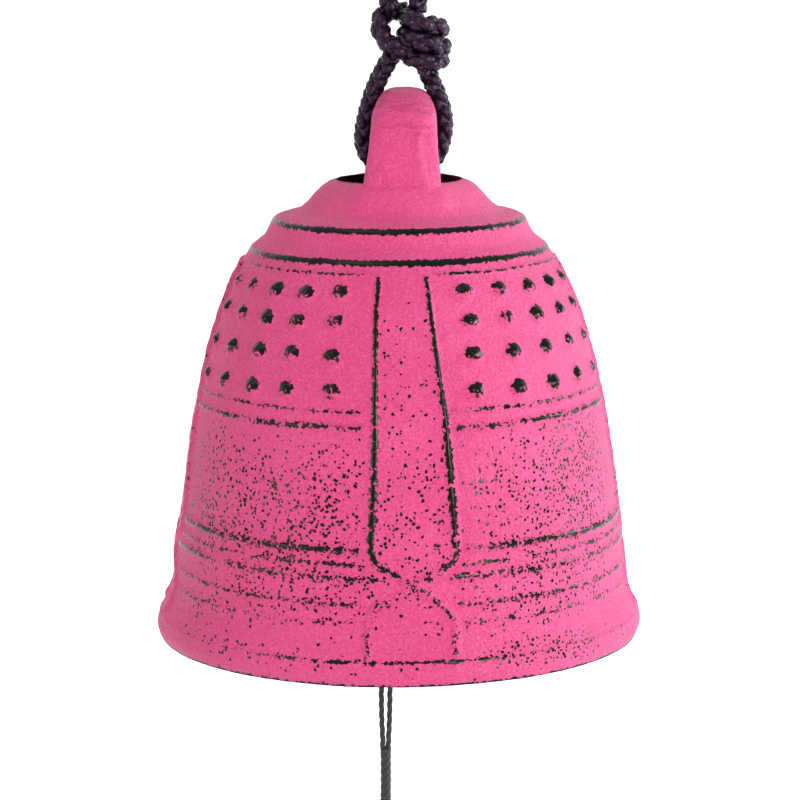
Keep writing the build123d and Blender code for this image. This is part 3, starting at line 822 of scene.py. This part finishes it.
def bell_wall(mesh):
    """Turned shell with its crown, raised lines, bands and studs."""
    outer = np.concatenate([
        curve_through(on_body(shares), WALL_STEP)[:-1]
        for shares in (LIP_SHARES, WALL_SHARES, LOW_STEP_SHARES, HIGH_STEP_SHARES)
    ] + [[(HOLE_RADIUS, BODY_HEIGHT)]])
    hole = [(HOLE_RADIUS, BODY_HEIGHT - WALL_STEP)]
    inner = np.concatenate([hole, curve_through(on_body(INNER_SHARES), WALL_STEP * 6), [outer[0]]])
    profile = np.concatenate((outer, inner))
    reach = distances(profile)
    ahead = np.gradient(profile, reach, axis=0)
    ahead /= np.linalg.norm(ahead, axis=1)[:, None]
    azimuth = np.linspace(0, 2 * math.pi, WALL_COLUMNS, endpoint=False)
    radius, height = profile[:, :1], profile[:, 1:]
    outside = (np.arange(len(profile)) < len(outer))[:, None]
    wall = (reach[:len(outer)], outer[:, 1])

    def reach_at(level):
        return np.interp(level, wall[1], wall[0])

    def around(out, up):
        return np.stack([out * np.sin(azimuth), -out * np.cos(azimuth), up + 0 * azimuth], axis=-1)

    rise = np.zeros((len(profile), WALL_COLUMNS))
    ridge = np.zeros_like(rise)
    turned = (np.degrees(azimuth) + 180) % 360 - 180
    rough = np.full_like(rise, SPECK_LEAST)
    for angle, spread_angle, level, spread_height, share in SPECK_FIELDS:
        field = swell(turned - angle, spread_angle) * swell(height - level, spread_height)
        rough = np.maximum(rough, share * np.minimum(SPECK_GAIN * field, 1))
    rough *= np.clip(SPECK_TOP - height, 0, 1)

    lumps = cast_noise(around(radius, height).reshape(-1, 3), size=0.8, seed=11).reshape(rise.shape)

    # Bands first: the lines round the bell stop beside them
    beside = np.full_like(rise, np.inf)
    edges = [on_body(shares) for shares in (BAND_LEFT_SHARES, BAND_RIGHT_SHARES)]
    limits = [np.interp(height, *np.array(edge[::-1]).T[::-1]) for edge in edges]
    for quarter in range(BAND_QUARTERS):
        turn = azimuth - quarter * 2 * math.pi / BAND_QUARTERS
        across = np.where(np.cos(turn) > BAND_FACE, radius * np.sin(turn), FAR)
        inside = (across - limits[0]) * (across - limits[1]) < 0
        inside &= (height < edges[0][0][1] + BAND_CLEAR) & (height > edges[0][-1][1])
        away = np.minimum(*[line_distance(across, height, edge) for edge in edges])
        beside = np.minimum(beside, np.where(inside, 0, away))
        uneven = 1 + BAND_UNEVEN * wander(height[:, 0] * 0.5, scale=1.0, seed=quarter + 3)[:, None]
        line = swell(away, np.interp(height, BAND_LINE_HEIGHTS, BAND_HALF_WIDTHS))
        rise = np.maximum(rise, BAND_RISE * line * (uneven + 0.2 * lumps))
        wear = BAND_QUARTER_WEARS[quarter] * np.interp(height, BAND_WEAR_HEIGHTS, BAND_WEAR_SHARES)
        ridge = np.maximum(ridge, wear * line * (uneven + 0.5 * lumps))
        rough = np.where(inside, np.interp(height, BAND_SPECK_HEIGHTS, BAND_SPECK_SHARES), rough)
    thinned = np.clip((beside - SPECK_FREE) / SPECK_FADE, SPECK_BAND_SHARE, 1)
    rough *= np.where(beside > 0, thinned, 1)

    open_wall = np.clip((beside - RING_FREE) / RING_FADE, 0, 1)
    rings = zip(RING_SHARES, RING_HALF_WIDTHS, RING_RISES, RING_WEAR_SHARES, RING_BREAKS)
    for index, (share, half_width, height_up, wear, breaks) in enumerate(rings):
        line = reach_at(BODY_HEIGHT * share) + RING_WANDER * wander(azimuth, scale=3.0, seed=index)
        uneven = 1 + breaks * wander(azimuth, scale=26.0, seed=index + 20)
        shape = swell(reach[:, None] - line, half_width) * open_wall
        rise = np.maximum(rise, height_up * shape)
        ridge = np.maximum(ridge, wear * shape * uneven)
    for index, share in enumerate(EDGE_SHARES):
        line = reach_at(BODY_HEIGHT * share) + EDGE_WANDER * wander(azimuth, scale=4.0, seed=index + 40)
        uneven = 1 + EDGE_BREAKS[index] * wander(azimuth, scale=22.0, seed=index + 50)
        shape = swell(reach[:, None] - line, EDGE_HALF_WIDTHS[index])
        rise = np.maximum(rise, EDGE_RISE * shape)
        wear = np.interp(turned, EDGE_ANGLES, EDGE_WEAR_SHARES[index])
        ridge = np.maximum(ridge, wear * shape * uneven)

    for panel, panel_angle in enumerate(PANEL_ANGLES):
        for column in range(STUD_COLUMNS):
            for row, share in enumerate(STUD_ROW_SHARES):
                index = (panel * STUD_COLUMNS + column) * len(STUD_ROW_SHARES) + row + 1
                angle = math.radians(panel_angle + (column - (STUD_COLUMNS - 1) / 2) * STUD_STEP_ANGLES[row])
                turn = (azimuth - angle + math.pi) % (2 * math.pi) - math.pi
                level = reach_at(BODY_HEIGHT * share) + STUD_SHIFT * spread(index)
                side = radius * turn + STUD_SHIFT * spread(index + 0.5)
                lift = 1 + STUD_UNEVEN * spread(index + 0.25)
                up = reach[:, None] - level
                shape = swell(np.hypot(side, up), STUD_REACH) * lift
                rise = np.maximum(rise, STUD_RISE * shape)
                rubbed = swell(np.hypot(PATCH_SQUEEZE * side, up - PATCH_SHIFT), STUD_REACH)
                rubbed = rubbed * lift * (1 + 0.5 * lumps)
                rubbed = np.clip((rubbed - PATCH_START) / PATCH_FADE, 0, 1)
                wear = PATCH_WEAR + PATCH_WEAR_SPREAD * spread(index + 0.75)
                ridge = np.maximum(ridge, rubbed * np.interp(up, PATCH_HEIGHTS, (PATCH_LOW_WEAR, wear)))

    # Rim and inside are bare iron
    rim = RIM_WEAR + RIM_BREAK * wander(azimuth, scale=30.0, seed=70)
    rim_line = rim * swell(reach[:, None], RIM_HALF_WIDTH)
    ridge = np.where(outside, np.maximum(ridge, rim_line), INSIDE_WEAR)
    rise = np.where(outside, rise, 0)
    base = around(radius + rise * ahead[:, 1:], height - rise * ahead[:, :1])
    flat = base.reshape(-1, 3)
    grain = cast_skin(flat, WALL_SKIN).reshape(rise.shape)
    out = around(ahead[:, 1:], -ahead[:, :1])
    foot = arch_foot_distance(base[..., 0], base[..., 1])
    crown = np.clip((height - FILLET_FOOT) / FILLET_FADE, 0, 1)
    crown = crown * np.clip((radius - HOLE_RADIUS) / FILLET_FADE, 0, 1)
    fillet = np.where(outside, FILLET_RISE * crown * np.exp(-(np.maximum(foot, 0) / FILLET_REACH) ** 2), 0)
    base += out * (grain - SKIN_SINK + fillet)[..., None]
    base[..., 2] += CASTING_SLANT * base[..., 0]
    # The specks' density drifts over the wall
    drift = 1 + SPECK_DRIFT * cast_noise(flat, size=9.0, seed=4).reshape(rise.shape)
    points = (base - (0, 0, HANG_HEIGHT)) * MM
    mesh.add(
        points, grid_faces(len(profile), WALL_COLUMNS),
        ridge=ridge.ravel(), rough=(rough * drift).ravel(),
        filed=np.zeros(len(flat)), crease=np.zeros(len(flat)),
    )


# Arch over the hole: outlines of its outer and inner side, and its half width by height
ARCH_SHIFT = 0.40
ARCH_LEAN = 0.032
ARCH_ROOT = 62.0
ARCH_OUTER = (
    (-12.6, 58.4), (-11.7, 60.6), (-10.7, 62.6), (-9.85, 64.9), (-9.05, 68.3), (-7.3, 72.3),
    (-4.0, 75.05), (0.0, 75.9),
)
ARCH_INNER = ((-4.6, 57.6), (-4.75, 60.6), (-4.6, 63.3), (-3.7, 66.1), (-2.0, 67.6), (0.0, 68.0))
ARCH_HALF_WIDTHS = ((58.4, 6.2), (61.0, 5.95), (62.5, 5.62), (64.5, 5.28), (70.0, 4.72), (75.9, 4.35))
ARCH_ROWS = 260
ARCH_SIDES = 144
# Power of the bar's rounded section at the top, and how much squarer it is at the feet
ARCH_SQUARENESS = 2.75
ARCH_FOOT_SQUARENESS = 0.8
GROOVE_HALF_WIDTH = 4.0
GROOVE_REACH = 4.2
# The arch's feet seen from above
FOOT_HALF_WIDTH = 4.6
FOOT_PLACE = 7.6
FOOT_HALF_DEPTH = 2.2
FOOT_ROUND = 0.4
# Round corner between the arch's feet and the crown
FILLET_FOOT = 58.6
FILLET_FADE = 2.0
FILLET_RISE = 0.75
FILLET_REACH = 1.9
# Marks on the arch's front, sideways place and height: creases across it and ridges near its foot
ARCH_CREASES = (
    ((-4.6, 71.3), (-2.2, 71.1), (0.2, 71.5), (1.4, 70.9), (4.4, 71.2)),
    ((0.8, 70.3), (2.4, 69.9), (4.2, 70.2)),
    ((-0.6, 74.0), (2.0, 74.2), (4.0, 73.6)),
)
ARCH_RIDGES = (
    ((-2.6, 66.0), (-1.2, 63.4), (-0.4, 61.6)),
    ((1.9, 69.4), (2.0, 66.6), (3.0, 62.4)),
    ((0.4, 72.8), (2.4, 72.2), (3.6, 72.4)),
)
MARK_FRONT = -4.0
MARK_HALF_WIDTH = 4.5
MARK_WANDER = 0.3
CREASE_HALF_WIDTH = 0.34
CREASE_DEPTH = 0.13
CREASE_SHADE = 0.45
RIDGE_HALF_WIDTH = 1.15
RIDGE_RISE = 0.34
FILED_HEIGHTS = (72.2, 73.4, 74.5, 75.3)
FILED_SHARES = (0.0, 1.0, 0.9, 0.2)
FILED_BACK = 2.0


def arch_foot_distance(x, y):
    """How far a point lies outside the arch's two feet, seen from above."""
    aside = np.abs(x - ARCH_SHIFT) - FOOT_HALF_WIDTH
    deep = np.abs(np.abs(y) - FOOT_PLACE) - FOOT_HALF_DEPTH
    return np.hypot(np.maximum(aside, 0), np.maximum(deep, 0)) - FOOT_ROUND


def mirrored(points):
    """A half outline and its other half."""
    return list(points) + [(-y, z) for y, z in points[-2::-1]]


def even_rows(points, rows):
    """The given number of evenly spaced points on a smooth curve."""
    fine = curve_through(points, 0.02)
    along = distances(fine)
    wanted = np.linspace(0, along[-1], rows)
    return np.stack([np.interp(wanted, along, fine[:, axis]) for axis in range(2)], axis=1)


def bell_arch(mesh):
    """Arch of the casting: a flat bar, rounded over its top and spread at its feet."""
    outer = even_rows(mirrored(ARCH_OUTER), ARCH_ROWS)
    inner = even_rows(mirrored(ARCH_INNER), ARCH_ROWS)
    angle = np.arange(ARCH_SIDES) * 2 * math.pi / ARCH_SIDES
    along = np.linspace(-1, 1, ARCH_ROWS)
    heights, widths = np.array(ARCH_HALF_WIDTHS).T
    half_width = np.interp(outer[:, 1], heights, widths)
    groove = np.clip(1 - (outer[:, 0] / GROOVE_REACH) ** 2, 0, 1) ** 1.5
    half_width -= (half_width - GROOVE_HALF_WIDTH) * groove
    footward = np.clip(np.abs(along) * 1.6 - 0.2, 0, 1)
    squareness = 2 / (ARCH_SQUARENESS + ARCH_FOOT_SQUARENESS * footward)
    cosine, sine = np.cos(angle), np.sin(angle)
    side = np.sign(cosine) * np.abs(cosine) ** squareness[:, None]
    deep = np.sign(sine) * np.abs(sine) ** squareness[:, None]
    middle = (outer + inner) / 2
    half = (outer - inner) / 2
    shape = np.stack([
        half_width[:, None] * side,
        half[:, :1] * deep,
        half[:, 1:] * deep,
    ], axis=-1)
    middles = np.stack([np.zeros(ARCH_ROWS), middle[:, 0], middle[:, 1]], axis=1)[:, None]
    points = (middles + shape).reshape(-1, 3)
    outward = shape.reshape(-1, 3)
    outward /= np.linalg.norm(outward, axis=1)[:, None]
    lumps = cast_skin(points, ARCH_SKIN)
    front = (points[:, 1] < MARK_FRONT) * np.clip(MARK_HALF_WIDTH - np.abs(points[:, 0]), 0, 1)
    x = points[:, 0] + MARK_WANDER * cast_noise(points, size=1.2, seed=9)
    z = points[:, 2] + MARK_WANDER * cast_noise(points, size=1.5, seed=10)
    crease = np.zeros(len(points))
    # Each crease is sunk into the surface and gets painted shade along it, stored as a mask for the paint
    for line in ARCH_CREASES:
        near = front * swell(line_distance(x, z, line), CREASE_HALF_WIDTH)
        lumps -= CREASE_DEPTH * near
        crease = np.maximum(crease, CREASE_SHADE * near)
    for ridge in ARCH_RIDGES:
        lumps += RIDGE_RISE * front * swell(line_distance(x, z, ridge), RIDGE_HALF_WIDTH)
    filed = np.interp(points[:, 2], FILED_HEIGHTS, FILED_SHARES) * (points[:, 1] < FILED_BACK)
    points = points + outward * lumps[:, None]
    points[:, 0] += ARCH_SHIFT + ARCH_LEAN * (points[:, 2] - ARCH_ROOT)
    bare = np.zeros(len(points))
    mesh.add(
        (points - (0, 0, HANG_HEIGHT)) * MM, capped_faces(ARCH_ROWS, ARCH_SIDES),
        ridge=bare, rough=bare, filed=filed, crease=crease,
    )


casting = Mesh()
bell_wall(casting)
bell_arch(casting)
casting.piece("bell_casting", "bell", "painted_casting", casting_material(), "bell")

# Clapper: a cast plate with a rounded rim
CLAPPER_RADIUS = 13.0
CLAPPER_TOP = 18.2
CLAPPER_FOOT = 15.8
CLAPPER_HOLE = 1.25
CLAPPER_ROUND = 0.7
CLAPPER_COLUMNS = 160
CLAPPER_RINGS = 26
CLAPPER_CORNER_RINGS = 6
CLAPPER_WORN_RIM = 1.6


def clapper_plate():
    """Plate with its hole, a worn rim and a sandy cast skin."""
    corner = np.linspace(0, math.pi / 2, CLAPPER_CORNER_RINGS)
    face = np.linspace(CLAPPER_HOLE, CLAPPER_RADIUS - CLAPPER_ROUND, CLAPPER_RINGS)
    round_out = CLAPPER_RADIUS - CLAPPER_ROUND + CLAPPER_ROUND * np.sin(corner)
    round_down = CLAPPER_ROUND * (1 - np.cos(corner))
    radii = np.concatenate((face, round_out[1:], round_out[::-1], face[::-1][1:], face[:1]))
    levels = np.concatenate((
        np.full(CLAPPER_RINGS, CLAPPER_TOP), CLAPPER_TOP - round_down[1:],
        (CLAPPER_FOOT + round_down)[::-1], np.full(CLAPPER_RINGS - 1, CLAPPER_FOOT), [CLAPPER_TOP],
    ))
    azimuth = np.linspace(0, 2 * math.pi, CLAPPER_COLUMNS, endpoint=False)
    points = np.stack([
        radii[:, None] * np.cos(azimuth), radii[:, None] * np.sin(azimuth), levels[:, None] + 0 * azimuth
    ], axis=-1).reshape(-1, 3)
    from_hole = np.repeat((radii - CLAPPER_HOLE) / CLAPPER_RADIUS, CLAPPER_COLUMNS)
    grain = cast_skin(points, CLAPPER_SKIN) - SKIN_SINK
    outward = np.sign(points[:, 2] - (CLAPPER_TOP + CLAPPER_FOOT) / 2)
    points[:, 2] += outward * grain * np.minimum(from_hole * 4, 1)
    worn = np.clip((radii - CLAPPER_RADIUS + CLAPPER_WORN_RIM) / CLAPPER_WORN_RIM, 0, 1)
    rim = np.repeat(worn, CLAPPER_COLUMNS)
    points = (points + (THREAD_X, 0, -HANG_HEIGHT)) * MM
    mesh = Mesh()
    faces = [face[::-1] for face in grid_faces(len(radii), CLAPPER_COLUMNS)]
    mesh.add(points, faces, rim=rim)
    return mesh.piece("clapper_plate", "clapper", "clapper_iron", iron_material(), "clapper")


clapper_plate()

# Paper strip: blank, a little curled, with a punched hole near its top
STRIP_WIDTH = 32.0
STRIP_LENGTH = 105.0
STRIP_TOP = -29.0
STRIP_THICK = 0.5
STRIP_HOLE = 1.7
STRIP_HOLE_HEIGHT = -34.58
STRIP_COLUMNS = 32
STRIP_ROWS_ABOVE = 5
STRIP_ROWS_BELOW = 90
HOLE_CELLS = 3
STRIP_CURL = 1.0
STRIP_CURL_TURN = 2.6
STRIP_CUP = 0.35
STRIP_WAVE = 0.2
STRIP_WAVE_TURNS = (2, 5)


def paper_strip():
    """Thin strip with a soft curl along its length and a slight wave across."""
    levels = np.concatenate((
        np.linspace(STRIP_TOP, STRIP_HOLE_HEIGHT, STRIP_ROWS_ABOVE + 1),
        np.linspace(STRIP_HOLE_HEIGHT, STRIP_TOP - STRIP_LENGTH, STRIP_ROWS_BELOW + 1)[1:],
    ))
    places = np.linspace(-STRIP_WIDTH / 2, STRIP_WIDTH / 2, STRIP_COLUMNS + 1)
    middle = STRIP_COLUMNS // 2
    number, flat, faces = {}, [], []
    for row, level in enumerate(levels):
        for column, place in enumerate(places):
            if max(abs(row - STRIP_ROWS_ABOVE), abs(column - middle)) >= HOLE_CELLS:
                number[row, column] = len(flat)
                flat.append((place, level))
    for row in range(len(levels) - 1):
        for column in range(STRIP_COLUMNS):
            corners = ((row, column), (row, column + 1), (row + 1, column + 1), (row + 1, column))
            past = max(abs(row + 0.5 - STRIP_ROWS_ABOVE), abs(column + 0.5 - middle))
            if past > HOLE_CELLS:
                faces.append([number[corner] for corner in corners])
    # Between the cells left out and the round edge of the hole
    side = range(-HOLE_CELLS, HOLE_CELLS)
    square = [(-HOLE_CELLS, i) for i in side] + [(i, HOLE_CELLS) for i in side]
    square += [(HOLE_CELLS, -i) for i in side] + [(-i, -HOLE_CELLS) for i in side]
    start = len(flat)
    for down, aside in square:
        place, level = places[middle + aside], levels[STRIP_ROWS_ABOVE + down]
        rise = level - STRIP_HOLE_HEIGHT
        out = math.hypot(place, rise)
        flat.append((place * STRIP_HOLE / out, STRIP_HOLE_HEIGHT + rise * STRIP_HOLE / out))
    edge = [number[STRIP_ROWS_ABOVE + down, middle + aside] for down, aside in square]
    for i in range(len(edge)):
        after = (i + 1) % len(edge)
        faces.append((edge[i], edge[after], start + after, start + i))
    x, z = np.array(flat).T
    down = (STRIP_TOP - z) / STRIP_LENGTH
    aside = x / (STRIP_WIDTH / 2)
    wave = STRIP_WAVE * np.sin(aside * STRIP_WAVE_TURNS[0] + down * STRIP_WAVE_TURNS[1])
    curl = STRIP_CURL * np.sin(down * STRIP_CURL_TURN) + STRIP_CUP * aside ** 2 + wave
    front = np.stack([x + THREAD_X, curl * down - STRIP_THICK / 2, z - HANG_HEIGHT], axis=1) * MM
    mesh = Mesh()
    mesh.add(front, faces)
    piece = mesh.piece("paper_strip_blank", "strip", "paper", paper_material(), "paper_strip")
    piece.data.shade_flat()
    thickness = piece.modifiers.new("thickness", "SOLIDIFY")
    thickness.thickness = STRIP_THICK * MM
    thickness.offset = 1.0


paper_strip()

# Floor, background and lamps; the floor's half side and the lamps' places and sizes are in metres
FLOOR_HEIGHT = -190.0
FLOOR_HALF = 12.0
LAMP_AIM_HEIGHT = 32
# Name, place, size, power and colour
LAMPS = (
    ("right_lamp", (0.58, -0.77, 0.12), 0.34, 6.5, (1, 1, 1)),
    ("right_side_lamp", (0.85, 0.15, 0.10), 0.36, 6.1, (0.70, 0.97, 1.0)),
    ("left_lamp", (-0.80, -0.45, 0.10), 0.36, 2.65, (1, 1, 1)),
    ("top_lamp", (-0.40, -0.30, 0.85), 0.50, 1.6, (1, 1, 1)),
)
# Strength of the white surroundings as a light; looked at or mirrored, they are plain white
WORLD_LIGHT = 0.23


def stage_floor():
    """Pale floor far below the bell that looks white and keeps the shadow."""
    mesh = bpy.data.meshes.new("floor")
    z = at(0, 0, FLOOR_HEIGHT).z
    corners = [(x * FLOOR_HALF, y * FLOOR_HALF, z) for x, y in ((-1, -1), (1, -1), (1, 1), (-1, 1))]
    mesh.from_pydata(corners, [], [(0, 1, 2, 3)])
    floor = bpy.data.objects.new("floor", mesh)
    bpy.context.collection.objects.link(floor)
    nodes = Nodes("floor")
    rays = nodes.add("LightPath")
    seen = nodes.math("MAXIMUM", rays.outputs["Is Camera Ray"], rays.outputs["Is Glossy Ray"])
    seen = nodes.math("MAXIMUM", seen, rays.outputs["Is Transmission Ray"])
    nodes.set(Base_Color=(0.80, 0.80, 0.80, 1), Roughness=0.9)
    nodes.set(Emission_Color=(1, 1, 1, 1), Emission_Strength=seen)
    mesh.materials.append(nodes.material)


def lamp(name, place, aim, size, power, colour):
    """Soft square lamp that faces a point."""
    data = bpy.data.lights.new(name, "AREA")
    data.shape = "SQUARE"
    data.size = size
    data.energy = power
    data.color = colour
    light = bpy.data.objects.new(name, data)
    light.location = place
    light.rotation_euler = (Vector(aim) - Vector(place)).to_track_quat("-Z", "Y").to_euler()
    bpy.context.collection.objects.link(light)


def studio_world():
    """White surroundings that light the object less than they show."""
    world = bpy.data.worlds.new("studio")
    bpy.context.scene.world = world
    world.use_nodes = True
    tree = world.node_tree
    backdrop = tree.nodes["Background"]
    backdrop.inputs["Color"].default_value = (1, 1, 1, 1)
    rays = tree.nodes.new("ShaderNodeLightPath")
    level = tree.nodes.new("ShaderNodeMapRange")
    level.inputs["To Min"].default_value = 1.0
    level.inputs["To Max"].default_value = WORLD_LIGHT
    tree.links.new(rays.outputs["Is Diffuse Ray"], level.inputs["Value"])
    tree.links.new(level.outputs["Result"], backdrop.inputs["Strength"])


stage_floor()
for lamp_name, lamp_place, lamp_size, lamp_power, lamp_colour in LAMPS:
    lamp(lamp_name, lamp_place, at(0, 0, LAMP_AIM_HEIGHT), lamp_size, lamp_power, lamp_colour)
studio_world()
